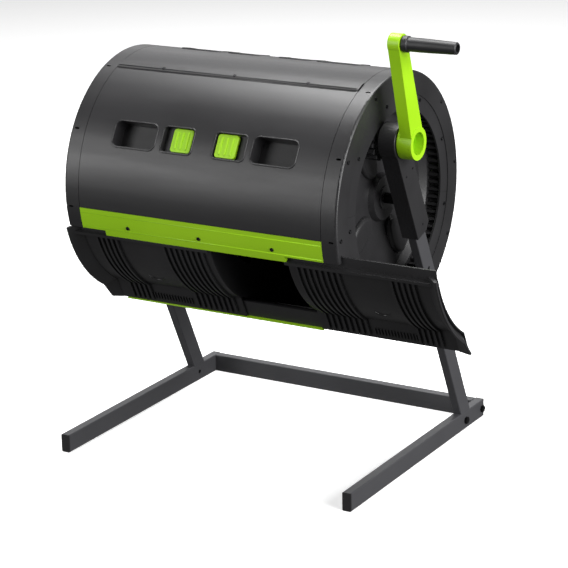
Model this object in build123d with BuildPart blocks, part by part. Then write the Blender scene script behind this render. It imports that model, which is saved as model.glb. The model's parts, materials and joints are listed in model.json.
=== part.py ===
from build123d import *
import os
from math import atan, cos, pi, radians, sin, sqrt

# Compost tumbler: a geared drum with two sliding doors, hung between two leaning posts on a floor frame.
# Millimetres. The drum's axis runs along X, the crank is at +X, the doors face -Y and +Z is up.
# Distances along the axle are from the drum's middle. Angles round it are from straight down, + to the back.

# ---- driving dimensions ----
drum_r = 330.0
drum_half = 406.0
axle_height = 720.5
wall = 4.5
segment = 72.0
foot_front = -350.0
foot_rear = 415.0
crank_length = 275.0
module = 6.37
ring_teeth = 75
pinion_teeth = 15

# ---- drum shell ----
ring_width = 44.6
seam = drum_half - ring_width
skin_in = drum_r - wall
ring_bore = 272.4
track_r = 305.0
first_joint = -84.5
panel_centres = [first_joint - segment * (i + 0.5) for i in range(4)]
door_low = first_joint + segment
door_middle = first_joint + segment / 2
joint_gap, seam_gap = 0.12, 1.3

# ---- pockets in each skin panel ----
recess_x, recess_long, recess_high, recess_floor = 207.0, 126.0, 68.0, 288.0
vent_x, vent_long, vent_high, vent_floor = 77.5, 89.0, 66.0, 315.0
slider_long, slider_high = 60.0, 62.0
pocket_wall = 3.0

# ---- doors ----
door_length = 418.0
left_door_end = 18.0
right_door_start = 246.0
door_r = 316.0
ledge_start, ledge_turn, ledge_long, ledge_wall = 18.5, 34.0, 65.0, 4.0

# ---- stand ----
tube_x, tube_y, tube_wall = 25.0, 50.0, 2.0
post_x = 433.5
post_lean = 24.8
post_shift = -8.0
beam_front = 389.0
stub_r = 14.0
axle_bolt_r = 6.0
running = 0.05
bolt_head = 7.0

# ---- gears, crank and grip ----
gear_in, gear_band, gear_out = 366.8, 399.0, 404.0
rim_seat = 390.0
pitch_ring = module * ring_teeth / 2
pitch_pinion = module * pinion_teeth / 2
centres = pitch_ring - pitch_pinion
housing_in, housing_out = 410.5, 458.0
shaft_r = 8.0
boss_in, boss_out, boss_r = 459.0, 501.0, 42.0
arm_in, arm_out = 469.0, 500.0
crank_lean = 16.3
grip_in, grip_out = 501.5, 646.0

# ---- the frame: the origin is under the middle of the whole object's box ----
reach_left = post_x + tube_x / 2 + bolt_head
reach_right = right_door_start + door_length + 9
axle = Vector((reach_left - reach_right) / 2, -(foot_front + foot_rear) / 2, axle_height)


def across(x, angle=90.0):
    """Plane square to the axle at x, its local X pointing out at the angle, from down to the back."""
    a = radians(angle)
    return Plane(origin=axle + Vector(x, 0, 0), x_dir=(0, sin(a), -cos(a)), z_dir=(1, 0, 0))


def facing(x, angle, radius):
    """Plane tangent to the drum at x, the angle and the radius. Its local X runs along the axle."""
    a = radians(angle)
    out = Vector(0, sin(a), -cos(a))
    return Plane(origin=axle + Vector(x, 0, 0) + out * radius, x_dir=(1, 0, 0), z_dir=out)


def ledge(x):
    """Plane square to the axle at x, at the foot of the doors' lower edge. Local X runs out down the edge."""
    a = radians(door_middle + ledge_start)
    b = a + radians(90 - ledge_turn)
    corner = axle + Vector(x, door_r * sin(a), -door_r * cos(a))
    return Plane(origin=corner, x_dir=(0, sin(b), -cos(b)), z_dir=(1, 0, 0))


def leaning(x, lean=post_lean, shift=0.0, up=0.0):
    """Plane square to the axle at x whose local Y leans to the front from upright."""
    a = radians(lean)
    w, d = Vector(0, cos(a), sin(a)), Vector(0, -sin(a), cos(a))
    return Plane(origin=axle + Vector(x, 0, 0) + w * shift + d * up, x_dir=w, z_dir=(1, 0, 0))


def sector(inner, outer, low, high):
    """A face between two radii and two angles from the sketch plane's local X."""
    with BuildSketch(mode=Mode.PRIVATE) as piece:
        with BuildLine():
            CenterArc((0, 0), outer, low, high - low)
            CenterArc((0, 0), inner, low, high - low)
            for a in (radians(low), radians(high)):
                Line((inner * cos(a), inner * sin(a)), (outer * cos(a), outer * sin(a)))
        make_face()
    add(piece.sketch)


def ring_face(inner, outer):
    """A full annulus about the sketch plane's origin."""
    Circle(outer)
    Circle(inner, mode=Mode.SUBTRACT)


def save(built, name):
    built.part.label = name
    export_step(built.part, f"parts/{name}.step")


os.makedirs("parts", exist_ok=True)

# ---- end rings: hollow moulded rings, stepped down where the doors slide out over them ----
ring_wall = 4.0
screw_r, screw_head_r = 2.0, 5.0
ring_screw_circle = 312.0
rail_width, groove_depth = 10.0, 3.2
tongue_in, tongue_out, groove_play = 314.0, 318.0, 0.4
step = segment / 2 - rail_width
ring_screw_angles = [first_joint - segment / 2 * i for i in range(9)]


def end_ring(side):
    with BuildPart() as ring:
        with BuildSketch(across(side * seam)):
            ring_face(drum_r - ring_wall, drum_r)
        extrude(amount=side * ring_width)
        with BuildSketch(across(side * drum_half)):
            ring_face(ring_bore, drum_r)
        extrude(amount=-side * ring_wall)
        rim = ring.edges().filter_by(GeomType.CIRCLE).group_by(Axis.X)[-1 if side > 0 else 0]
        fillet(rim.sort_by(SortBy.RADIUS)[-1], 6.5)
        with BuildSketch(across(side * seam)):
            ring_face(track_r - ring_wall, drum_r)
        extrude(amount=side * ring_wall)
        with BuildSketch(across(side * drum_half)):
            ring_face(ring_bore, ring_bore + ring_wall)
        extrude(amount=-side * 20)
        with BuildSketch(across(side * (drum_half - 20))):
            ring_face(252, ring_bore + ring_wall)
        extrude(amount=side * 3.8)
        with BuildSketch(across(side * (seam - 1), door_middle)):
            sector(track_r, drum_r + 5, -step, step)
        extrude(amount=side * (ring_width + 2), mode=Mode.SUBTRACT)
        with BuildSketch(across(side * seam, door_middle)):
            sector(track_r - ring_wall, track_r, -step - 0.7, step + 0.7)
            sector(track_r, drum_r - ring_wall, -step - 0.7, -step)
            sector(track_r, drum_r - ring_wall, step, step + 0.7)
        extrude(amount=side * (ring_width - ring_wall))
        with BuildSketch(across(side * (seam - 1), door_middle)):
            sector(tongue_in - groove_play, tongue_out + groove_play, -step - groove_depth, 1 - step)
        extrude(amount=side * (ring_width + 2), mode=Mode.SUBTRACT)
        for angle in ring_screw_angles:
            with BuildSketch(across(side * (drum_half - 6), angle)):
                with Locations((ring_screw_circle, 0)):
                    Circle(screw_r + running)
            extrude(amount=side * 8, mode=Mode.SUBTRACT)
            with BuildSketch(facing(side * (seam + 27), angle, drum_r - 6)):
                SlotOverall(14, 5, rotation=0)
            extrude(amount=8, mode=Mode.SUBTRACT)
    return ring


for side, name in ((-1, "end_ring_left"), (1, "end_ring_right")):
    save(end_ring(side), name)


def face_screws(side, angles, circle, face, length):
    """Round-headed screws driven along the axle, as separate solids."""
    with BuildPart() as screws:
        for angle in angles:
            with BuildSketch(across(side * face, angle)):
                with Locations((circle, 0)):
                    Circle(screw_head_r)
            extrude(amount=side * 2.2)
            with BuildSketch(across(side * face, angle)):
                with Locations((circle, 0)):
                    Circle(screw_r)
            extrude(amount=-side * length)
    return screws


for side, name in ((-1, "ring_screws_left"), (1, "ring_screws_right")):
    save(face_screws(side, ring_screw_angles, ring_screw_circle, drum_half, 14), name)

# ---- internal gear ring on the crank side, moulded in two halves, and a plain ring opposite ----
pressure = radians(20)
ring_tip = pitch_ring - 0.69 * module
ring_root = pitch_ring + 1.05 * module
pinion_tip = pitch_pinion + 0.85 * module
pinion_root = pitch_pinion - 1.1 * module
split_angles = (-94.0, 81.0)
split_gap = 0.5
gear_screw_circle = 262.0
band_r, rim_r = 232.5, 251.5
gear_screw_angles = [split_angles[0] + 8 + i * 40 for i in range(9)]
mesh_angle = 180 + post_lean


def involute_angle(pitch, r):
    """How far a tooth flank has turned from its start on the base circle, at radius r."""
    roll = sqrt(max((r / (pitch * cos(pressure))) ** 2 - 1, 0))
    return roll - atan(roll)


def tooth(pitch, teeth, root, tip, play):
    """One tooth on local X, with curved flanks from root to tip, thinner by the play."""
    half = (pi * module / 4 - play / 2) / pitch
    start = half + involute_angle(pitch, pitch)
    base = pitch * cos(pressure)

    def at(r, sign):
        a = sign * (start - involute_angle(pitch, max(r, base)))
        return (r * cos(a), r * sin(a))

    middle = (max(root, base) + tip) / 2
    with BuildSketch(mode=Mode.PRIVATE) as shape:
        with BuildLine():
            Line(at(root - 2, -1), at(max(root, base), -1))
            ThreePointArc(at(max(root, base), -1), at(middle, -1), at(tip, -1))
            Line(at(tip, -1), at(tip, 1))
            ThreePointArc(at(tip, 1), at(middle, 1), at(max(root, base), 1))
            Line(at(max(root, base), 1), at(root - 2, 1))
            Line(at(root - 2, 1), at(root - 2, -1))
        make_face()
    return shape.sketch


def half_ring(low, high, toothed, side):
    """Half of a ring screwed into an end ring: a flat band, with teeth behind it on the gear side."""
    middle, half = (low + high) / 2, (high - low) / 2
    with BuildPart() as ring:
        with BuildSketch(across(side * gear_band, middle)):
            sector(band_r, ring_bore - 0.5, -half, half)
        extrude(amount=side * (gear_out - gear_band))
        with BuildSketch(across(side * rim_seat, middle)):
            sector(rim_r - 2, ring_bore - 0.5, -half, half)
        extrude(amount=side * (gear_out - rim_seat))
        if toothed:
            with BuildSketch(across(side * gear_in, middle)):
                sector(ring_tip, rim_r, -half, half)
            extrude(amount=side * (gear_out - gear_in - 1))
            space = tooth(pitch_ring, ring_teeth, band_r - 1, ring_root, -0.3)
            with BuildSketch(across(side * (gear_in - 1), mesh_angle)) as spaces:
                with PolarLocations(0, ring_teeth):
                    add(space)
            extrude(spaces.sketch, amount=side * (gear_band - gear_in + 1), mode=Mode.SUBTRACT)
        for angle in gear_screw_angles:
            with BuildSketch(across(side * (rim_seat - 1), angle)):
                with Locations((gear_screw_circle, 0)):
                    Circle(screw_r + running)
            extrude(amount=side * 20, mode=Mode.SUBTRACT)
    return ring


cut = split_gap / 2 / ring_bore * 180 / pi
low_cut, high_cut = split_angles
save(half_ring(low_cut + cut, high_cut - cut, True, 1), "gear_ring_lower")
save(half_ring(high_cut + cut, low_cut + 360 - cut, True, 1), "gear_ring_upper")
save(half_ring(low_cut + cut, high_cut - cut, False, -1), "plain_ring_lower")
save(half_ring(high_cut + cut, low_cut + 360 - cut, False, -1), "plain_ring_upper")
save(face_screws(1, gear_screw_angles, gear_screw_circle, gear_out, 13.5), "gear_ring_screws")
save(face_screws(-1, gear_screw_angles, gear_screw_circle, gear_out, 13.5), "plain_ring_screws")

# ---- dished end caps with a hub and raised pods ----
cap_floor = 347.0
hub_r, hub_out = 58.0, 362.0
bush_r = 22.0
pod_count, pod_circle, pod_long, pod_wide = 4, 140.0, 130.0, 70.0
first_pod = 33.0


def end_cap(side):
    profile = [
        (bush_r + running, cap_floor - 14),
        (hub_r, cap_floor - 14),
        (hub_r, cap_floor - wall),
        (218, cap_floor - wall + 3),
        (233, seam),
        (300, seam),
        (300, seam + wall),
        (228, seam + wall),
        (213, cap_floor + 3),
        (hub_r + 6, cap_floor),
        (hub_r, hub_out),
        (bush_r + running, hub_out),
    ]
    with BuildPart() as cap:
        with BuildSketch(Plane(origin=axle, x_dir=(0, 0, 1), z_dir=(0, 1, 0))):
            with BuildLine():
                Polyline(*[(r, side * x) for r, x in profile], close=True)
            make_face()
        revolve(axis=Axis(axle, (1, 0, 0)), revolution_arc=360)
        for i in range(pod_count):
            with BuildSketch(across(side * (cap_floor - 1), first_pod + i * 360 / pod_count)):
                with Locations((pod_circle, 0)):
                    Ellipse(pod_long / 2, pod_wide / 2)
            extrude(amount=side * 15)
            rim = cap.edges().filter_by(GeomType.ELLIPSE).sort_by(Axis.X)
            fillet(rim[-1 if side > 0 else 0], 11)
    return cap


for side, name in ((-1, "end_cap_left"), (1, "end_cap_right")):
    save(end_cap(side), name)


def hub_bush(side):
    with BuildPart() as bush:
        with BuildSketch(across(side * (cap_floor - 14))):
            ring_face(stub_r + running, bush_r)
        extrude(amount=side * (hub_out - cap_floor + 14))
        with BuildSketch(across(side * hub_out)):
            ring_face(stub_r + running, bush_r + 8)
        extrude(amount=side * 3)
    return bush


for side, name in ((-1, "hub_bush_left"), (1, "hub_bush_right")):
    save(hub_bush(side), name)

# ---- four skin panels with hand recesses and vent pockets ----
groove, plate = 2.2, 2.0


def skin_panel(centre):
    half = segment / 2 - joint_gap / 2
    with BuildPart() as panel:
        with BuildSketch(across(seam_gap - seam, centre)):
            sector(skin_in, drum_r, -half, half)
            sector(skin_in - 14, skin_in, -half, -half + 0.8)
            sector(skin_in - 14, skin_in, half - 0.8, half)
        extrude(amount=2 * (seam - seam_gap))
        for x in (-recess_x, recess_x):
            with BuildSketch(facing(x, centre, recess_floor - pocket_wall)):
                RectangleRounded(recess_long + 2 * pocket_wall, recess_high + 2 * pocket_wall, 18)
            extrude(amount=skin_in + 0.5 - recess_floor + pocket_wall)
        for x in (-vent_x, vent_x):
            with BuildSketch(facing(x, centre, vent_floor - pocket_wall)):
                RectangleRounded(vent_long + 2 * pocket_wall, vent_high + 4 * pocket_wall, 12)
            extrude(amount=skin_in + 0.5 - vent_floor + pocket_wall)
        for x in (-recess_x, recess_x):
            with BuildSketch(facing(x, centre, recess_floor)):
                RectangleRounded(recess_long, recess_high, 16)
            extrude(amount=60, mode=Mode.SUBTRACT)
        for x in (-vent_x, vent_x):
            inner = x / abs(x)
            with BuildSketch(facing(x, centre, vent_floor)):
                RectangleRounded(vent_long, vent_high, 9)
            extrude(amount=40, mode=Mode.SUBTRACT)
            with BuildSketch(facing(x, centre, vent_floor)):
                Rectangle(vent_long - 1, vent_high + 2 * groove)
            extrude(amount=plate + 0.3, mode=Mode.SUBTRACT)
            with BuildSketch(facing(x - inner * 31, centre, vent_floor - 10)):
                with GridLocations(10, 11, 2, 5):
                    Circle(3)
            extrude(amount=20, mode=Mode.SUBTRACT)
    return panel


for i, centre in enumerate(panel_centres):
    save(skin_panel(centre), f"skin_panel_{i + 1}")


def vent_slider(centre, side):
    """A finger slider in its pocket, standing at the inner end, with its plate in the pocket's grooves."""
    x = side * (vent_x - vent_long / 2 + 3 + slider_long / 2)
    body_high = 11.0
    with BuildPart() as slider:
        with BuildSketch(facing(x, centre, vent_floor + 0.1)):
            Rectangle(slider_long - 4, vent_high + 2 * groove - 0.8)
        extrude(amount=plate)
        with BuildSketch(facing(x, centre, vent_floor + 0.1 + plate)):
            RectangleRounded(slider_long, slider_high, 8)
        extrude(amount=body_high - plate)
        flats = slider.faces().filter_by(lambda f: f.area > 2000)
        fillet(flats.sort_by(lambda f: (f.center() - axle).length)[-1].edges(), 2)
        with BuildSketch(facing(x, centre, vent_floor + body_high)):
            with GridLocations(16, 0, 3, 1):
                SlotOverall(46, 6, rotation=90)
        extrude(amount=2.4, taper=18)
    return slider


for i, centre in enumerate(panel_centres):
    for side, hand in ((-1, "left"), (1, "right")):
        save(vent_slider(centre, side), f"vent_slider_{i + 1}_{hand}")

# ---- raised strips over the panel joints, each with three screws ----
strip_width = 6.0
strip_screw_x = (-216.0, 0.0, 216.0)
joints = [first_joint - segment * (i + 1) for i in range(3)]


def joint_strip(angle):
    with BuildPart() as strip:
        with BuildSketch(across(-seam + 1, angle - strip_width / 2)):
            sector(drum_r, drum_r + 4, -strip_width / 2, strip_width / 2)
        extrude(amount=2 * seam - 2)
        ridge = strip.edges().filter_by(Axis.X).sort_by(lambda e: (e.center() - axle).length)[-2:]
        chamfer(ridge, 2.5)
        for x in strip_screw_x:
            with BuildSketch(facing(x, angle - 1.2, drum_r)):
                Circle(screw_r + running)
            extrude(amount=10, mode=Mode.SUBTRACT)
    return strip


for i, angle in enumerate(joints):
    save(joint_strip(angle), f"joint_strip_{i + 1}")

# ---- rails: a green grooved one above the door opening, and a gutter with a green lip below it ----
rail_in = 312.5
lip_from, lip_to, lip_reach = -290.0, 250.0, 2.6
rail_screw_angle = 7.2
with BuildPart() as upper_rail:
    with BuildSketch(across(-seam + 0.5, first_joint)):
        sector(rail_in, drum_r, 0.1, rail_width)
    extrude(amount=2 * seam - 1)
    with BuildSketch(across(lip_from, first_joint)):
        sector(tongue_out + 1, drum_r, rail_width - 0.5, rail_width + lip_reach)
    extrude(amount=lip_to - lip_from)
    with BuildSketch(across(-seam, first_joint)):
        sector(tongue_in - groove_play, tongue_out + groove_play, rail_width - groove_depth, 30)
    extrude(amount=2 * seam, mode=Mode.SUBTRACT)
    for x in strip_screw_x:
        with BuildSketch(facing(x, first_joint + rail_screw_angle, tongue_in)):
            Circle(screw_r + running)
        extrude(amount=30, mode=Mode.SUBTRACT)
save(upper_rail, "door_rail_upper")

gutter_play, gutter_wall, gutter_lip = 0.8, 4.0, 3.0
gutter_screw_angle, gutter_seat = -3.6, 333.0


def polar(r, angle):
    """A sketch point at a radius and an angle from the sketch plane's local X."""
    return (r * cos(radians(angle)), r * sin(radians(angle)))


floor_in, floor_out = ledge_wall + gutter_play, ledge_wall + gutter_play + gutter_wall
end_in, end_out = ledge_long + gutter_play, ledge_long + gutter_play + gutter_lip
with BuildPart() as lower_rail:
    with BuildSketch(ledge(-seam + 0.5)):
        Polygon((14, floor_in), (end_in, floor_in), (end_in, floor_out), (14, floor_out), align=None)
    extrude(amount=2 * seam - 1)
    with BuildSketch(across(-seam + 0.5, door_low)):
        corners = [(rail_in, -0.1), (drum_r, -0.1), (341.4, -9.9), (322.2, -13.9), (rail_in, -11.5)]
        Polygon(*[polar(r, angle) for r, angle in corners], align=None)
    extrude(amount=2 * seam - 1)
    for x in strip_screw_x:
        with BuildSketch(facing(x, door_low + gutter_screw_angle, gutter_seat)):
            Circle(screw_head_r + 1)
        extrude(amount=8, mode=Mode.SUBTRACT)
        with BuildSketch(facing(x, door_low + gutter_screw_angle, gutter_seat - 12)):
            Circle(screw_r + running)
        extrude(amount=20, mode=Mode.SUBTRACT)
save(lower_rail, "door_rail_lower")

with BuildPart() as lower_lip:
    with BuildSketch(ledge(-seam + 0.5)):
        corners = [(end_in, -gutter_lip), (end_out, -gutter_lip), (end_out, floor_out), (end_in, floor_out)]
        Polygon(*corners, align=None)
    extrude(amount=lip_to + seam - 0.5)
    fillet(lower_lip.edges().filter_by(Axis.X), 0.8)
save(lower_lip, "gutter_lip")


def radial_screws(places, length):
    """Screws driven into the drum at each angle and head radius, as separate solids."""
    with BuildPart() as screws:
        for angle, radius in places:
            for x in strip_screw_x:
                with BuildSketch(facing(x, angle, radius)):
                    Circle(screw_head_r)
                extrude(amount=2.2)
                with BuildSketch(facing(x, angle, radius - length)):
                    Circle(screw_r)
                extrude(amount=length)
    return screws


rail_places = [(first_joint + rail_screw_angle, drum_r + 0.02), (door_low + gutter_screw_angle, gutter_seat)]
save(radial_screws(rail_places, 11), "rail_screws")
save(radial_screws([(angle - 1.2, drum_r + 4) for angle in joints], 3.5), "strip_screws")

# ---- centre divider between the two chambers ----
divider_wall, divider_r = 4.0, 309.0
with BuildPart() as divider:
    with BuildSketch(across(-divider_wall / 2)):
        Circle(divider_r)
        with PolarLocations(205, 6):
            SlotOverall(70, 26, rotation=90, mode=Mode.SUBTRACT)
    extrude(amount=divider_wall)
    for centre in panel_centres:
        with BuildSketch(across(-divider_wall / 2, centre)):
            sector(divider_r - 5, skin_in - 0.1, -34.8, 34.8)
        extrude(amount=divider_wall)
save(divider, "centre_divider")

# ---- sliding doors ----
flange_turn, flange_reach = 1.4, 2.0
door_skin, rib_out, rib_wide, rib_half, rib_foot = 312.0, 321.5, 6.5, 20.5, 56.0
inner_ribs, inner_rib_start, inner_rib_pitch = 8, 22.0, 16.8
outer_ribs, outer_rib_start, outer_rib_pitch = 5, 286.0, 15.5
flare_half, flare_long, flare_out = 25.5, 26.0, 24.0
tongue_half, flange_half = 28.8, 23.4
gusset_pitch, gusset_wide, gusset_long, gusset_high, gusset_place = 9.0, 2.2, 22.0, 3.6, 0.62
gusset_count = 14


def flare_section(side, out):
    """The flared end's section as distances along the axle from the door's end and out from its skin."""
    inner = [(-flare_long, -3), (-flare_long, 1)]
    outer = [(4, out), (9, out), (9, out - 6), (-12, -3)]
    return [(side * x, y) for x, y in inner + outer]


def sliding_door(inner_end, side):
    """A ribbed door from its inner end outwards: tongue and flange on top, a ledge below and a flared end."""
    end = inner_end + side * door_length
    with BuildPart() as door:
        with BuildSketch(across(inner_end, door_middle)):
            sector(door_skin, door_r, -flange_half, ledge_start)
            sector(tongue_in, tongue_out, -tongue_half, 1 - flange_half)
            sector(door_skin, drum_r + flange_reach, -flange_half, flange_turn - flange_half)
        extrude(amount=side * door_length)
        with BuildSketch(ledge(inner_end)):
            with Locations((ledge_long / 2 - 1, ledge_wall / 2)):
                Rectangle(ledge_long + 2, ledge_wall)
        extrude(amount=side * door_length)
        starts = [inner_rib_start + i * inner_rib_pitch for i in range(inner_ribs)]
        starts += [outer_rib_start + i * outer_rib_pitch for i in range(outer_ribs)]
        for start in starts:
            with BuildSketch(across(inner_end + side * start, door_middle)):
                sector(door_r - 1, rib_out, -rib_half, ledge_start)
            extrude(amount=side * rib_wide)
            with BuildSketch(ledge(inner_end + side * start)):
                with Locations((rib_foot / 2 - 3, (1 + door_r - rib_out) / 2)):
                    Rectangle(rib_foot + 6, rib_out - door_r + 1)
            extrude(amount=side * rib_wide)
        smooth_from = inner_rib_start + inner_ribs * inner_rib_pitch
        front = ledge(inner_end + side * (smooth_from + outer_rib_start) / 2)
        with BuildSketch(Plane(front.origin, x_dir=(1, 0, 0), z_dir=front.y_dir)):
            with Locations((0, gusset_place * ledge_long)):
                with GridLocations(gusset_pitch, 1, gusset_count, 1):
                    Rectangle(gusset_wide, gusset_long)
        extrude(amount=-gusset_high)
        a = radians(door_middle - flare_half)
        with BuildSketch(Plane(origin=axle, x_dir=(0, sin(a), -cos(a)), z_dir=(0, cos(a), sin(a)))):
            with BuildLine():
                Polyline(*[(door_r + r, -end - x) for x, r in flare_section(side, flare_out)], close=True)
            make_face()
        revolve(axis=Axis(axle, (1, 0, 0)), revolution_arc=flare_half + ledge_start)
        foot = ledge(end)
        for out, along in ((flare_out, 0), (7, ledge_long)):
            with BuildSketch(Plane(foot.origin + foot.x_dir * along, x_dir=(1, 0, 0), z_dir=foot.x_dir)):
                Polygon(*flare_section(side, out), align=None)
        loft(ruled=True)
    return door


save(sliding_door(left_door_end, -1), "left_door")
save(sliding_door(right_door_start, 1), "right_door")

# ---- floor frame and leaning posts, of rectangular tube ----
plug = 4.0
bolt_head_r = 10.0
post_foot_y = 301.0


def tube(plane, length):
    with BuildPart() as bar:
        with BuildSketch(plane):
            RectangleRounded(tube_x, tube_y, 3)
            RectangleRounded(tube_x - 2 * tube_wall, tube_y - 2 * tube_wall, 1.5, mode=Mode.SUBTRACT)
        extrude(amount=length)
    return bar


def floor_point(x, y, z):
    """A point measured from the axle in x and y, and from the floor in z."""
    return Vector(axle.X + x, axle.Y + y, z)


lean = radians(post_lean)
along_post, across_post = Vector(0, -sin(lean), cos(lean)), Vector(0, cos(lean), sin(lean))
post_low = (tube_y - axle_height) / cos(lean)
post_tops = {"left": 60.0, "right": 215.0}
bolt_spots = (post_foot_y, beam_front + tube_x / 2)
for side, name in ((-1, "left"), (1, "right")):
    foot_start = Plane(floor_point(side * post_x, foot_front + plug, tube_y / 2), (1, 0, 0), (0, 1, 0))
    with BuildPart() as foot:
        add(tube(foot_start, foot_rear - foot_front - 2 * plug).part)
        for y in bolt_spots:
            with BuildSketch(Plane(floor_point(side * (post_x - 30), y, tube_y / 2), (0, 1, 0), (1, 0, 0))):
                Circle(axle_bolt_r + running)
            extrude(amount=side * 60, mode=Mode.SUBTRACT)
    save(foot, f"{name}_foot")
    post_start = axle + Vector(side * post_x, 0, 0) + across_post * post_shift + along_post * (post_low - 40)
    with BuildPart() as post:
        add(tube(Plane(post_start, (1, 0, 0), along_post), post_tops[name] - post_low + 40).part)
        split(bisect_by=Plane.XY.offset(tube_y), keep=Keep.TOP)
        for height, hole_r in ((0, axle_bolt_r), (centres, 11.0))[: 1 if side < 0 else 2]:
            with BuildSketch(leaning(side * (post_x - 30), up=height)):
                Circle(hole_r + running)
            extrude(amount=60 * side, mode=Mode.SUBTRACT)
    save(post, f"{name}_post")

with BuildPart() as beam:
    beam_start = Plane(floor_point(-post_x + tube_x / 2, beam_front + tube_x / 2, tube_y / 2), (0, 1, 0), (1, 0, 0))
    add(tube(beam_start, 2 * post_x - tube_x).part)
save(beam, "rear_cross_beam")

with BuildPart() as end_plugs:
    for side in (-1, 1):
        for y, way in ((foot_front, 1), (foot_rear, -1)):
            plane = Plane(floor_point(side * post_x, y, tube_y / 2), (1, 0, 0), (0, 1, 0))
            with BuildSketch(plane):
                RectangleRounded(tube_x, tube_y, 3)
            extrude(amount=way * plug)
            with BuildSketch(plane):
                RectangleRounded(tube_x - 2 * tube_wall - 0.4, tube_y - 2 * tube_wall - 0.4, 1.2)
            extrude(amount=way * (plug + 3))
save(end_plugs, "foot_end_plugs")

with BuildPart() as post_plug:
    top = axle + Vector(-post_x, 0, 0) + across_post * post_shift + along_post * post_tops["left"]
    with BuildSketch(Plane(top, (1, 0, 0), along_post)):
        RectangleRounded(tube_x, tube_y, 3)
    extrude(amount=5)
    fillet(post_plug.faces().sort_by(Axis(top, along_post))[-1].edges(), 2)
    with BuildSketch(Plane(top, (1, 0, 0), along_post)):
        RectangleRounded(tube_x - 2 * tube_wall - 0.4, tube_y - 2 * tube_wall - 0.4, 1.2)
    extrude(amount=-18)
save(post_plug, "left_post_plug")


def hexagon(plane):
    """A bolt head's outline on the plane."""
    with BuildSketch(plane, mode=Mode.PRIVATE) as outline:
        RegularPolygon(bolt_head_r, 6)
    return outline.sketch


with BuildPart() as frame_bolts:
    for side in (-1, 1):
        for y in bolt_spots:
            outer = Plane(floor_point(side * (post_x + tube_x / 2), y, tube_y / 2), (0, 1, 0), (1, 0, 0))
            extrude(hexagon(outer), amount=side * bolt_head)
            with BuildSketch(outer):
                Circle(axle_bolt_r)
            extrude(amount=-side * (tube_x - tube_wall - 1))
save(frame_bolts, "frame_bolts")

# ---- stub axles: a collar against the post, the drum's journal inwards and a threaded end outwards ----
for side, name in ((-1, "left"), (1, "right")):
    inner_face, outer_face = post_x - tube_x / 2, post_x + tube_x / 2
    journal_start = cap_floor - 18
    with BuildPart() as stub:
        with BuildSketch(across(side * journal_start)):
            Circle(stub_r)
        extrude(amount=side * (inner_face - journal_start))
        with BuildSketch(across(side * inner_face)):
            Circle(stub_r + 5)
        extrude(amount=-side * 8)
        with BuildSketch(across(side * inner_face)):
            Circle(axle_bolt_r)
        extrude(amount=side * (tube_x + 0.2))
        extrude(hexagon(across(side * outer_face)), amount=side * 6)
    save(stub, f"{name}_stub_axle")

# ---- gear housing: two shells clasping the top of the crank-side post ----
shell, housing_split = 3.0, post_x
housing_front, housing_back, housing_bottom = -42.0, 27.0, -98.0
housing_top_r = 47.0
pinion_clear = 12.0
housing_screws = ((13.0, 98.0), (-24.0, 99.0), (-5.0, -69.0))


def housing_outline(inset):
    """The housing seen along the axle: a strip down the post with a round top and a cut lower corner."""
    front, back, bottom = housing_front + inset, housing_back - inset, housing_bottom + inset
    corners = [(front, centres), (front, bottom + 6), (back - 22, bottom), (back, bottom + 16), (back, centres)]
    Polygon(*corners, align=None)
    with Locations((0, centres)):
        Circle(housing_top_r - inset)


def housing_shell(start, amount):
    """One shell with its floor at start, open towards the post."""
    way = amount / abs(amount)
    with BuildPart() as half:
        with BuildSketch(leaning(start)):
            housing_outline(0)
        extrude(amount=amount)
        rim = half.faces().sort_by(Axis.X)[0 if way > 0 else -1].edges()
        fillet(rim, 2)
        with BuildSketch(leaning(start + way * shell)):
            housing_outline(shell)
        extrude(amount=amount, mode=Mode.SUBTRACT)
        with BuildSketch(leaning(post_x - tube_x / 2 - 0.2)):
            with Locations((post_shift, housing_bottom)):
                Rectangle(tube_y + 0.4, 60)
        extrude(amount=tube_x + 0.4, mode=Mode.SUBTRACT)
    return half


with BuildPart() as inner_shell:
    add(housing_shell(housing_in, housing_split - housing_in - 0.05).part)
    for height, hole_r in ((0, stub_r + 6), (centres, pinion_clear)):
        with BuildSketch(leaning(housing_in - 1, up=height)):
            Circle(hole_r)
        extrude(amount=shell + 2, mode=Mode.SUBTRACT)
save(inner_shell, "gear_housing_inner")

with BuildPart() as outer_shell:
    add(housing_shell(housing_out, housing_split - housing_out + 0.05).part)
    with BuildSketch(leaning(housing_out + 1, up=centres)):
        Circle(pinion_clear)
    extrude(amount=-shell - 2, mode=Mode.SUBTRACT)
    for w, d in housing_screws:
        with BuildSketch(leaning(housing_out + 1, shift=w, up=d)):
            Circle(3.2)
        extrude(amount=-3, mode=Mode.SUBTRACT)
        with BuildSketch(leaning(housing_out + 1, shift=w, up=d)):
            Circle(1.6)
        extrude(amount=-shell - 3, mode=Mode.SUBTRACT)
save(outer_shell, "gear_housing_outer")

with BuildPart() as cover_screws:
    for w, d in housing_screws:
        with BuildSketch(leaning(housing_out - 2, shift=w, up=d)):
            Circle(3.1)
        extrude(amount=1.4)
        with BuildSketch(leaning(housing_out - 2, shift=w, up=d)):
            Circle(1.5)
        extrude(amount=-8)
save(cover_screws, "housing_screws")

with BuildPart() as shaft_bush:
    bush_from, bush_to = post_x - tube_x / 2 - 1, post_x + tube_x / 2 + 2
    with BuildSketch(leaning(bush_from, up=centres)):
        ring_face(shaft_r + running, 11)
    extrude(amount=bush_to - bush_from)
    with BuildSketch(leaning(bush_to - 2, up=centres)):
        ring_face(shaft_r + running, 14)
    extrude(amount=2)
save(shaft_bush, "crank_shaft_bush")

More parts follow.
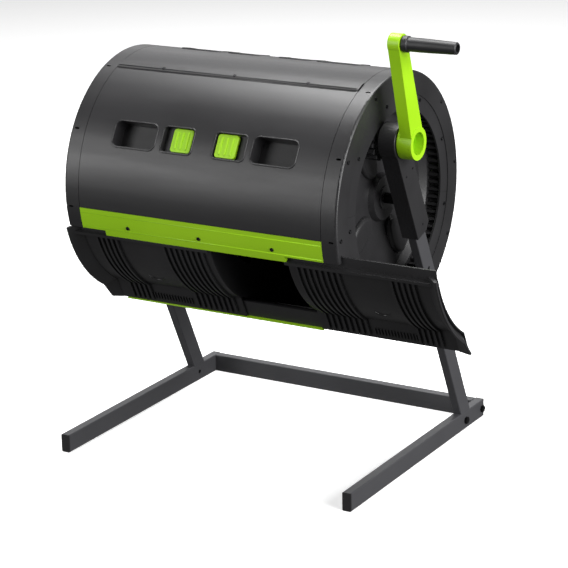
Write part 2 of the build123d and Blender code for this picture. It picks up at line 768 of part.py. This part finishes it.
# ---- pinion, shaft, crank and grip ----
pinion_in, pinion_out = gear_in + 0.4, gear_band - 1
with BuildPart() as pinion:
    with BuildSketch(leaning(pinion_in, up=centres)):
        Circle(pinion_root)
        gear_tooth = tooth(pitch_pinion, pinion_teeth, pinion_root, pinion_tip, 0.3)
        with PolarLocations(0, pinion_teeth, start_angle=90):
            add(gear_tooth)
        Circle(shaft_r + 0.01, mode=Mode.SUBTRACT)
    extrude(amount=pinion_out - pinion_in)
save(pinion, "pinion_gear")

crank_centre = along_post * centres
crank_top = crank_centre + Vector(0, -sin(radians(crank_lean)), cos(radians(crank_lean))) * crank_length


def on_crank(x, up=0.0):
    """Plane square to the axle at x, on the crank's pivot or up its arm, with local Y along the arm."""
    a = radians(crank_lean)
    w, d = Vector(0, cos(a), sin(a)), Vector(0, -sin(a), cos(a))
    return Plane(axle + crank_centre + Vector(x, 0, 0) + d * up, w, (1, 0, 0))


socket_r, socket_floor = 29.0, 470.0
with BuildPart() as shaft:
    with BuildSketch(on_crank(pinion_in)):
        Circle(shaft_r)
    extrude(amount=socket_floor - 3 - pinion_in)
save(shaft, "crank_shaft")

arm_low_half, arm_top_half, arm_top_r = 31.0, 23.0, 24.5
pin_r, pin_end = 5.0, 634.0
with BuildPart() as crank:
    with BuildSketch(on_crank(arm_in)):
        with BuildLine():
            Polyline(
                (-arm_low_half, 0),
                (arm_low_half, 0),
                (arm_top_half, crank_length),
                (-arm_top_half, crank_length),
                close=True,
            )
        make_face()
        with Locations((0, crank_length)):
            Circle(arm_top_r)
    extrude(amount=arm_out - arm_in)
    with BuildSketch(on_crank(boss_in)):
        Circle(boss_r)
    extrude(amount=boss_out - boss_in)
    fillet(crank.edges().filter_by(GeomType.CIRCLE).sort_by(Axis.X)[0], 3)
    with BuildSketch(on_crank(boss_out + 1)):
        Circle(socket_r)
    extrude(amount=-(boss_out + 1 - socket_floor), mode=Mode.SUBTRACT)
    with BuildSketch(on_crank(boss_in - 1)):
        Circle(shaft_r + 0.01)
    extrude(amount=socket_floor - 3 - boss_in + 1, mode=Mode.SUBTRACT)
    with BuildSketch(on_crank(boss_in)):
        Circle(3.05)
    extrude(amount=60, mode=Mode.SUBTRACT)
    with BuildSketch(on_crank(arm_in - 1, crank_length)):
        Circle(pin_r + 0.01)
    extrude(amount=arm_out - arm_in + 2, mode=Mode.SUBTRACT)
save(crank, "crank_arm")

with BuildPart() as crank_bolt:
    with BuildSketch(on_crank(socket_floor)):
        RegularPolygon(9, 6)
    extrude(amount=6)
    with BuildSketch(on_crank(socket_floor)):
        Circle(3)
    extrude(amount=-2.9)
save(crank_bolt, "crank_bolt")

with BuildPart() as grip_pin:
    with BuildSketch(on_crank(arm_in, crank_length)):
        Circle(pin_r)
    extrude(amount=pin_end - arm_in)
    with BuildSketch(on_crank(pin_end, crank_length)):
        Circle(8)
    extrude(amount=4)
save(grip_pin, "grip_pin")

grip_root_r, grip_end_r = 20.7, 15.0
with BuildPart() as grip:
    grip_axis = Axis(axle + crank_top, (1, 0, 0))
    outline = [
        (pin_r + running, grip_in),
        (grip_root_r - 2, grip_in),
        (grip_root_r, grip_in + 3),
        (grip_root_r - 0.6, grip_in + 14),
        (grip_root_r - 3.2, grip_in + 17),
        (grip_end_r + 2.4, grip_in + 60),
        (grip_end_r + 0.6, grip_out - 16),
        (grip_end_r, grip_out - 2),
        (grip_end_r - 2, grip_out),
        (9.5, grip_out),
        (9.5, pin_end - 1),
        (pin_r + running, pin_end - 1),
    ]
    with BuildSketch(Plane(axle + crank_top, (0, 0, 1), (0, 1, 0))):
        with BuildLine():
            Polyline(*[(r, x) for r, x in outline], close=True)
        make_face()
    revolve(axis=grip_axis, revolution_arc=360)
save(grip, "crank_grip")
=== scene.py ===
import json
from math import asin, atan2, cos, pi, radians, sin

import bmesh
import bpy
from mathutils import Matrix, Vector


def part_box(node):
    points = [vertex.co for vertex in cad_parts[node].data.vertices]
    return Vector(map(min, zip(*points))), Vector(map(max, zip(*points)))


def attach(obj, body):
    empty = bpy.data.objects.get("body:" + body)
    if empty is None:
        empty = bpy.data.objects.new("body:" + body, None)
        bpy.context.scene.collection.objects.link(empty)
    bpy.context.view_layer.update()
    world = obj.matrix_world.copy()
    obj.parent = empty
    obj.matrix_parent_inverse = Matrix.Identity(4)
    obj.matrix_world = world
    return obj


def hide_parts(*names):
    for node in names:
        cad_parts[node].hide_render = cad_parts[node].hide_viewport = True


# Compost tumbler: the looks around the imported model. Metres, in the model's own frame.
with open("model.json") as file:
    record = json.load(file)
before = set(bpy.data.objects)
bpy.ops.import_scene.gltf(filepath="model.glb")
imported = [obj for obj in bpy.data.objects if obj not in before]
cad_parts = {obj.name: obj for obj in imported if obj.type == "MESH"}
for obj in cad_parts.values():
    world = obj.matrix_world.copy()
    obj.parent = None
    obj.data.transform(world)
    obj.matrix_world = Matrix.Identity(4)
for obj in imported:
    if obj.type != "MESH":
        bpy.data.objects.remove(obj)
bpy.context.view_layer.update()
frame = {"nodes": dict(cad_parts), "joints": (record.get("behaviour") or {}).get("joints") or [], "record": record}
nodes = frame["nodes"]
SLOT_OF = {s["node"]: s["material_slot"] for s in frame["record"]["subparts"]}
JOINTS = {j["name"]: j for j in frame["joints"]}
AXLE = Vector(JOINTS["drum_turn"]["pos_m"])


# ---------- small helpers for node trees ----------
def new_material(name):
    """An empty node material: (material, nodes, links, shader)."""
    material = bpy.data.materials.new(name)
    material.use_nodes = True
    tree = material.node_tree
    return material, tree.nodes, tree.links, tree.nodes["Principled BSDF"]


def place(tree_nodes, links, scale=(1, 1, 1)):
    """Object coordinates in metres, stretched by the scale."""
    coords = tree_nodes.new("ShaderNodeTexCoord")
    mapping = tree_nodes.new("ShaderNodeMapping")
    mapping.inputs["Scale"].default_value = scale
    links.new(coords.outputs["Object"], mapping.inputs["Vector"])
    return mapping.outputs["Vector"]


def noise(tree_nodes, links, vector, scale, detail):
    node = tree_nodes.new("ShaderNodeTexNoise")
    node.inputs["Scale"].default_value = scale
    node.inputs["Detail"].default_value = detail
    node.inputs["Roughness"].default_value = 0.55
    links.new(vector, node.inputs["Vector"])
    return node.outputs["Fac"]


def spread(tree_nodes, links, value, low, high, start=0.0, end=1.0):
    """The value, mapped from start..end to low..high."""
    node = tree_nodes.new("ShaderNodeMapRange")
    node.inputs["From Min"].default_value = start
    node.inputs["From Max"].default_value = end
    node.inputs["To Min"].default_value = low
    node.inputs["To Max"].default_value = high
    links.new(value, node.inputs["Value"])
    return node.outputs["Result"]


def mix_colours(tree_nodes, links, factor, first, second):
    node = tree_nodes.new("ShaderNodeMix")
    node.data_type = "RGBA"
    links.new(factor, node.inputs["Factor"])
    for socket, value in (("A", first), ("B", second)):
        target = [s for s in node.inputs if s.name == socket and s.type == "RGBA"][0]
        if isinstance(value, tuple):
            target.default_value = value
        else:
            links.new(value, target)
    return [s for s in node.outputs if s.type == "RGBA"][0]


def bump(tree_nodes, links, height, strength, distance, under=None):
    node = tree_nodes.new("ShaderNodeBump")
    node.inputs["Strength"].default_value = strength
    node.inputs["Distance"].default_value = distance
    links.new(height, node.inputs["Height"])
    if under is not None:
        links.new(under, node.inputs["Normal"])
    return node.outputs["Normal"]


def worn_edges(tree_nodes, links):
    """About 1 on sharp outward edges and 0 elsewhere."""
    geometry = tree_nodes.new("ShaderNodeNewGeometry")
    return spread(tree_nodes, links, geometry.outputs["Pointiness"], 0.0, 1.0, 0.52, 0.60)


def moulded(name, colour, pale, rough, grain=0.00012, grain_scale=900.0):
    """Injection-moulded plastic: fine grain, slow colour drift, flow marks and rubbed edges."""
    material, tn, links, shader = new_material(name)
    where = place(tn, links)
    drift = noise(tn, links, where, 3.2, 3.0)
    specks = noise(tn, links, where, 160.0, 3.0)
    fine = noise(tn, links, where, grain_scale, 2.0)
    flow = noise(tn, links, place(tn, links, (1.0, 9.0, 9.0)), 2.5, 2.0)
    base = mix_colours(tn, links, spread(tn, links, drift, 0.0, 1.0, 0.35, 0.65), colour, pale)
    base = mix_colours(tn, links, spread(tn, links, worn_edges(tn, links), 0.0, 0.45), base, pale)
    links.new(base, shader.inputs["Base Color"])
    combined = tn.new("ShaderNodeMath")
    combined.operation = "MULTIPLY_ADD"
    combined.inputs[1].default_value = 0.5
    links.new(specks, combined.inputs[0])
    links.new(flow, combined.inputs[2])
    uneven = spread(tn, links, combined.outputs[0], rough - 0.06, rough + 0.07, 0.4, 1.1)
    links.new(uneven, shader.inputs["Roughness"])
    waves = bump(tn, links, flow, 0.25, 0.0006)
    links.new(bump(tn, links, fine, 0.55, grain, waves), shader.inputs["Normal"])
    return material


def powder_coat(name, colour, pale):
    """Powder-coated steel tube: orange peel with fine specks, paler where the corners are rubbed."""
    material, tn, links, shader = new_material(name)
    where = place(tn, links)
    peel = noise(tn, links, where, 420.0, 2.0)
    specks = noise(tn, links, where, 1600.0, 1.0)
    patch = noise(tn, links, where, 6.0, 3.0)
    base = mix_colours(tn, links, spread(tn, links, patch, 0.0, 0.6, 0.35, 0.65), colour, pale)
    base = mix_colours(tn, links, spread(tn, links, worn_edges(tn, links), 0.0, 0.5), base, pale)
    links.new(base, shader.inputs["Base Color"])
    links.new(spread(tn, links, specks, 0.42, 0.58), shader.inputs["Roughness"])
    links.new(bump(tn, links, peel, 0.5, 0.00015), shader.inputs["Normal"])
    shader.inputs["Coat Weight"].default_value = 0.15
    shader.inputs["Coat Roughness"].default_value = 0.3
    return material


def plated(name, colour):
    """Zinc-plated steel: turned marks and a cloudy passivated tint."""
    material, tn, links, shader = new_material(name)
    where = place(tn, links)
    cloud = noise(tn, links, where, 90.0, 4.0)
    marks = noise(tn, links, place(tn, links, (60.0, 6.0, 6.0)), 40.0, 2.0)
    dark = tuple(c * 0.55 for c in colour[:3]) + (1.0,)
    links.new(mix_colours(tn, links, cloud, dark, colour), shader.inputs["Base Color"])
    links.new(spread(tn, links, marks, 0.25, 0.5), shader.inputs["Roughness"])
    links.new(bump(tn, links, marks, 0.3, 0.0001), shader.inputs["Normal"])
    shader.inputs["Metallic"].default_value = 1.0
    return material


MATERIALS = {
    "black_plastic": moulded(
        "black_moulded_plastic", (0.0125, 0.0122, 0.013, 1), (0.022, 0.0215, 0.023, 1), 0.40),
    "green_plastic": moulded(
        "lime_moulded_plastic", (0.31, 0.62, 0.003, 1), (0.37, 0.68, 0.012, 1), 0.36, 0.00006, 700.0),
    "grip_plastic": moulded(
        "grip_moulded_plastic", (0.010, 0.010, 0.011, 1), (0.02, 0.02, 0.022, 1), 0.44, 0.0003, 1100.0),
    "bush_plastic": moulded("bush_nylon", (0.02, 0.02, 0.021, 1), (0.04, 0.04, 0.042, 1), 0.35),
    "frame_paint": powder_coat("frame_powder_coat", (0.040, 0.040, 0.044, 1), (0.065, 0.065, 0.07, 1)),
    # painted shade: the screw and bolt steel is set near black to stand in for the shade the screws sit in deep in
    # their recesses
    "steel_fixings": plated("steel_with_painted_recess_shade", (0.030, 0.030, 0.032, 1)),
}

for name, node in nodes.items():
    node.data.materials.clear()
    node.data.materials.append(MATERIALS[SLOT_OF[name]])

# ---------- soft moulded edges on the model's own parts ----------
EDGE = {"black_plastic": 0.0011, "green_plastic": 0.0012, "grip_plastic": 0.0006, "bush_plastic": 0.0005,
        "frame_paint": 0.0006, "steel_fixings": 0.0003}
for name, node in nodes.items():
    rounded = node.modifiers.new("edge_rounding", "BEVEL")
    rounded.width = EDGE[SLOT_OF[name]]
    rounded.segments = 2
    rounded.limit_method = "ANGLE"
    rounded.angle_limit = radians(40)

# ---------- small pieces that the model leaves to this script ----------
DRUM_R, STRIP_R, DOOR_R = 0.330, 0.334, 0.316
# a pocket rim's section, as distances out from the pocket's edge and out from the skin
RIM_LOOP = (
    (0.0003, -0.0025), (0.0005, 0.0015), (0.0011, 0.0023),
    (0.0030, 0.0023), (0.0038, 0.0014), (0.0043, -0.0012))
# each pocket's distance from the drum's middle, length, height and corner radius
HAND_RECESS = (0.207, 0.126, 0.068, 0.016)
VENT_POCKET = (0.0775, 0.089, 0.066, 0.009)
SCREW_RINGS, SCREW_TURNS = 12, 48
HEAD_PROPORTION = 0.44
# the panel joints' angles from straight down, and half the length of the ridges along them
FIRST_JOINT, SEGMENT, SEAM_REACH = radians(-84.5), radians(72), 0.355
# each ridge's shift round the drum from the joint, the radius it stands on and its height
SEAM_RIDGES = ((-0.0047, STRIP_R, 0.0018), (0.0024, DRUM_R, 0.0016))
RIDGE_HALF = 0.0016
# each ridge's turn in degrees from the green rail's middle, and half its width
RAIL_RIDGES = {"rail_bead_upper": (-4.2, 0.0011), "rail_bead_lower": (2.6, 0.0014)}
RAIL_END = 0.004
# the post's lean, and each of its screws across and up the post from the axle
POST_LEAN = radians(24.8)
POST_SCREWS = ((-0.010, -0.214), (-0.008, -0.230))
POST_SCREW_R, POST_SCREW_HIGH, POST_SCREW_PROUD = 0.0045, 0.002, 0.0014
# a finger lip's distance from the door's inner end, half length, angle from straight down and bow
LIP_INSET, LIP_HALF, LIP_ANGLE, LIP_BOW = 0.223, 0.025, radians(-44), radians(4.2)
LIP_STEPS = 24
# how far the ridges and lips start below the surface they stand on
SUNK = 0.0003


def on_drum(x, angle, radius=DRUM_R):
    """A point x along the axle from the drum's middle, at an angle from straight down and a radius."""
    return AXLE + Vector((x, radius * sin(angle), -radius * cos(angle)))


def angle_of(point):
    """The angle of a point round the axle, from straight down and positive to the back."""
    return atan2(point.y - AXLE.y, AXLE.z - point.z)


def centre_of(node):
    low, high = (Vector(corner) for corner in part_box(node))
    return (low + high) / 2


def add_piece(name, form, slot, body):
    """Turn a bmesh into a smooth piece that takes the slot's material and rides on the body."""
    bmesh.ops.recalc_face_normals(form, faces=form.faces)
    mesh = bpy.data.meshes.new(name)
    form.to_mesh(mesh)
    form.free()
    for face in mesh.polygons:
        face.use_smooth = True
    made = bpy.data.objects.new(name, mesh)
    bpy.context.scene.collection.objects.link(made)
    mesh.materials.append(MATERIALS[slot])
    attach(made, body)
    return made


def add_strip(form, rows, closed=False):
    """Join rows of points into one surface; a closed strip meets its own first row."""
    loops = [[form.verts.new(point) for point in row] for row in rows]
    pairs = list(zip(loops, loops[1:])) + ([(loops[-1], loops[0])] if closed else [])
    for near, far in pairs:
        for i in range(len(near) - 1):
            form.faces.new((near[i], near[i + 1], far[i + 1], far[i]))
    if not closed:
        form.faces.new(loops[0])
        form.faces.new(loops[-1])


def half_round(half, high):
    """The section of a low ridge: points over half an ellipse, across it and up from its foot."""
    return [(half * cos(pi * k / 8), high * sin(pi * k / 8)) for k in range(9)]


def rounded_outline(long, high, corner, steps=7):
    """Points round a rounded rectangle, each with its outward direction."""
    outline = []
    for quarter, (along, up) in enumerate(((1, 1), (-1, 1), (-1, -1), (1, -1))):
        middle = Vector((along * (long / 2 - corner), up * (high / 2 - corner)))
        for i in range(steps + 1):
            a = (quarter + i / steps) * pi / 2
            way = Vector((cos(a), sin(a)))
            outline.append((middle + way * corner, way))
    return outline


def pocket_rim(form, x, angle, long, high, corner):
    """A thin raised border round a pocket in the skin."""
    rows = []
    for point, way in rounded_outline(long, high, corner):
        row = []
        for offset, proud in RIM_LOOP:
            spot = point + way * offset
            row.append(on_drum(x + spot.x, angle + asin(spot.y / DRUM_R), DRUM_R + proud))
        rows.append(row)
    add_strip(form, rows, closed=True)


def make_pocket_rims():
    for i in range(4):
        form = bmesh.new()
        angle = angle_of(centre_of(f"vent_slider_{i + 1}_left"))
        for middle, long, high, corner in (HAND_RECESS, VENT_POCKET):
            for way in (-1, 1):
                pocket_rim(form, way * middle, angle, long, high, corner)
        add_piece(f"pocket_rims_{i + 1}", form, "black_plastic", "drum")


def head_seats(node, outward_of):
    """The middle of each screw head's outer face in a group node, with its outward direction and radius."""
    mesh = nodes[node].data
    parent = list(range(len(mesh.vertices)))

    def root(i):
        while parent[i] != i:
            parent[i] = parent[parent[i]]
            i = parent[i]
        return i

    for edge in mesh.edges:
        parent[root(edge.vertices[0])] = root(edge.vertices[1])
    islands = {}
    for vertex in mesh.vertices:
        islands.setdefault(root(vertex.index), []).append(vertex.co.copy())
    seats = []
    for points in islands.values():
        outward = outward_of(sum(points, Vector()) / len(points))
        top = max(point.dot(outward) for point in points)
        rim = [point for point in points if top - point.dot(outward) < 0.0001]
        low = Vector([min(point[k] for point in rim) for k in range(3)])
        high = Vector([max(point[k] for point in rim) for k in range(3)])
        middle = (low + high) / 2
        seats.append((middle, outward, max((point - middle).length for point in rim)))
    return seats


def screw_head(form, middle, outward, radius, height, turn):
    """A pan head with a cross recess; middle is the middle of its outer face."""
    across_way = outward.orthogonal().normalized()
    along_way = outward.cross(across_way)
    arm, reach, depth = 0.15 * radius, 0.55 * radius, 0.62 * height
    rows = []
    for k in range(SCREW_TURNS):
        a = 2 * pi * k / SCREW_TURNS
        row = []
        for i in range(SCREW_RINGS + 1):
            r = radius * i / SCREW_RINGS
            u, v = r * cos(a + turn), r * sin(a + turn)
            dome = height * (0.30 * (1 - (r / radius) ** 2) - 0.06)
            cross = min(abs(u), abs(v)) < arm and r < reach
            drop = depth * (1 - 0.5 * r / reach) if cross else 0.0
            row.append(middle + outward * (dome - drop) + (across_way * cos(a) + along_way * sin(a)) * r)
        row.append(middle - outward * height + (across_way * cos(a) + along_way * sin(a)) * radius)
        rows.append(row)
    add_strip(form, rows, closed=True)
    bmesh.ops.remove_doubles(form, verts=form.verts, dist=1e-7)


def make_screws():
    """Pan-head screws with cross recesses in place of the plain ones."""
    along_left, along_right = Vector((-1, 0, 0)), Vector((1, 0, 0))

    def radial(point):
        out = point - AXLE
        out.x = 0
        return out.normalized()

    ways = {
        "ring_screws_left": lambda point: along_left,
        "plain_ring_screws": lambda point: along_left,
        "ring_screws_right": lambda point: along_right,
        "gear_ring_screws": lambda point: along_right,
        "housing_screws": lambda point: along_right,
        "rail_screws": radial,
        "strip_screws": radial,
    }
    for node, way in ways.items():
        form = bmesh.new()
        for k, (middle, outward, radius) in enumerate(head_seats(node, way)):
            screw_head(form, middle, outward, radius, HEAD_PROPORTION * radius, 0.7 * k)
        body = "stand" if node == "housing_screws" else "drum"
        heads = add_piece(node + "_heads", form, "steel_fixings", body)
        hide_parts(node)


def make_post_screws():
    """Two small screws on the outer face of the crank-side post, below the gear housing."""
    outer_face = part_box("right_post")[1][0]
    across_post = Vector((0, cos(POST_LEAN), sin(POST_LEAN)))
    up_post = Vector((0, -sin(POST_LEAN), cos(POST_LEAN)))
    form = bmesh.new()
    for k, (shift, up) in enumerate(POST_SCREWS):
        spot = AXLE + across_post * shift + up_post * up
        spot.x = outer_face + POST_SCREW_PROUD
        screw_head(form, spot, Vector((1, 0, 0)), POST_SCREW_R, POST_SCREW_HIGH, 0.5 * k)
    add_piece("post_screws", form, "steel_fixings", "stand")


def make_seam_beads():
    """Fine ridges along the seam on each joint strip, one on the strip's edge and one at its foot."""
    for i in (1, 2, 3):
        seam = FIRST_JOINT - i * SEGMENT
        form = bmesh.new()
        for shift, radius, high in SEAM_RIDGES:
            section = half_round(RIDGE_HALF, high)
            rows = [[on_drum(x, seam + (shift + w) / DRUM_R, radius - SUNK + h) for w, h in section]
                    for x in (-SEAM_REACH, SEAM_REACH)]
            add_strip(form, rows)
        add_piece(f"seam_beads_{i}", form, "black_plastic", "drum")


def make_rail_beads():
    """Two fine ridges along the green rail over the doors."""
    reach = centre_of("door_rail_upper").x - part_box("door_rail_upper")[0][0]
    top = angle_of(centre_of("door_rail_upper"))
    for name, (turn, half) in RAIL_RIDGES.items():
        form = bmesh.new()
        angle = top + radians(turn)
        section = half_round(half, half * 0.8)
        rows = [[on_drum(x, angle + w / DRUM_R, DRUM_R - 0.0002 + h) for w, h in section]
                for x in (RAIL_END - reach, reach - RAIL_END)]
        add_strip(form, rows)
        add_piece(name, form, "green_plastic", "drum")


def make_finger_lips():
    """A crescent finger lip in the smooth middle of each door."""
    for door, way in (("left_door", -1), ("right_door", 1)):
        low, high = (Vector(corner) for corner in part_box(door))
        inner_end = (high.x if way < 0 else low.x) - AXLE.x
        middle = inner_end + way * LIP_INSET
        rows = []
        for k in range(LIP_STEPS + 1):
            t = 2 * k / LIP_STEPS - 1
            section = half_round(0.0005 + 0.0042 * (1 - t * t), 0.0004 + 0.0034 * (1 - t ** 4))
            x, curve = middle + LIP_HALF * t, LIP_ANGLE + LIP_BOW * (1 - t * t)
            rows.append([on_drum(x, curve + w / DOOR_R, DOOR_R - SUNK + h) for w, h in section])
        form = bmesh.new()
        add_strip(form, rows)
        add_piece(door + "_finger_lip", form, "black_plastic", door)


make_pocket_rims()
make_screws()
make_post_screws()
make_seam_beads()
make_rail_beads()
make_finger_lips()

# ---------- floor, light and camera ----------
def stage_material():
    material, tn, links, shader = new_material("pale_floor")
    grain = noise(tn, links, place(tn, links), 14.0, 5.0)
    pale = mix_colours(tn, links, grain, (0.86, 0.86, 0.86, 1), (0.90, 0.90, 0.90, 1))
    links.new(pale, shader.inputs["Base Color"])
    shader.inputs["Roughness"].default_value = 0.8
    shader.inputs["Emission Color"].default_value = (1.0, 1.0, 1.0, 1)
    shader.inputs["Emission Strength"].default_value = 0.55
    return material


def make_floor():
    """A large round pale floor that curves up far round the object."""
    mesh = bpy.data.meshes.new("floor")
    form = bmesh.new()
    flat, bend, wall, steps = 9.0, 3.0, 12.0, 72
    outline = [(flat + bend * sin(k * pi / 24), bend * (1 - cos(k * pi / 24))) for k in range(13)]
    outline += [(flat + bend, wall)]
    turns = [2 * pi * k / steps for k in range(steps)]
    loops = [[form.verts.new((r * cos(a), r * sin(a), z)) for a in turns] for r, z in outline]
    form.faces.new(loops[0])
    for near, far in zip(loops, loops[1:]):
        for k in range(steps):
            following = (k + 1) % steps
            form.faces.new((near[k], near[following], far[following], far[k])).smooth = True
    bmesh.ops.recalc_face_normals(form, faces=form.faces)
    form.to_mesh(mesh)
    form.free()
    floor = bpy.data.objects.new("floor", mesh)
    bpy.context.scene.collection.objects.link(floor)
    mesh.materials.append(stage_material())
    floor.visible_diffuse = floor.visible_glossy = False


def area_light(name, place_at, target, size, power):
    data = bpy.data.lights.new(name, "AREA")
    data.shape, data.size, data.size_y, data.energy = "RECTANGLE", size[0], size[1], power
    lamp = bpy.data.objects.new(name, data)
    bpy.context.scene.collection.objects.link(lamp)
    lamp.location = place_at
    lamp.rotation_euler = (Vector(target) - Vector(place_at)).to_track_quat("-Z", "Y").to_euler()


# each light's place, the point it faces, its width and height, and its watts
LIGHTS = {
    "key_light": ((-3.4, -4.6, 2.3), (-0.3, 0, 0.8), (3.0, 3.0), 155),
    "top_light": ((-0.4, 1.0, 4.4), (0, 0, 0.6), (3.2, 2.4), 270),
    "side_light": ((4.4, -0.8, 2.0), (0.3, 0, 0.8), (3.0, 3.0), 310),
    "back_light": ((-3.3, 5.2, 3.0), (0, 0, 1.0), (4.0, 2.0), 38),
}

make_floor()
for name, (place_at, target, size, power) in LIGHTS.items():
    area_light(name, place_at, target, size, power)
world = bpy.data.worlds.new("studio")
bpy.context.scene.world = world
world.use_nodes = True
world.node_tree.nodes["Background"].inputs["Color"].default_value = (1.0, 1.0, 1.0, 1)
world.node_tree.nodes["Background"].inputs["Strength"].default_value = 0.13
bpy.context.scene.view_settings.view_transform = "Standard"

# the camera stands in front of the crank side, about 5.8 m off, looking slightly down
CAMERA_FROM_AXLE = Vector((2.9069, -4.7435, 1.4588))
YAW, PITCH, ROLL = radians(31.01), radians(17.39), radians(-1.34)
LENS, SENSOR = 138.14, 36.0
ahead = Vector((-sin(YAW) * cos(PITCH), cos(YAW) * cos(PITCH), -sin(PITCH)))
level = Vector((cos(YAW), sin(YAW), 0))
upward = level.cross(ahead)
side = cos(ROLL) * level + sin(ROLL) * upward
upright = cos(ROLL) * upward - sin(ROLL) * level
camera_data = bpy.data.cameras.new("camera")
camera_data.lens, camera_data.sensor_width = LENS, SENSOR
camera = bpy.data.objects.new("camera", camera_data)
bpy.context.scene.collection.objects.link(camera)
turned = Matrix((side, upright, -ahead)).transposed().to_4x4()
camera.matrix_world = Matrix.Translation(AXLE + CAMERA_FROM_AXLE) @ turned
bpy.context.scene.camera = camera
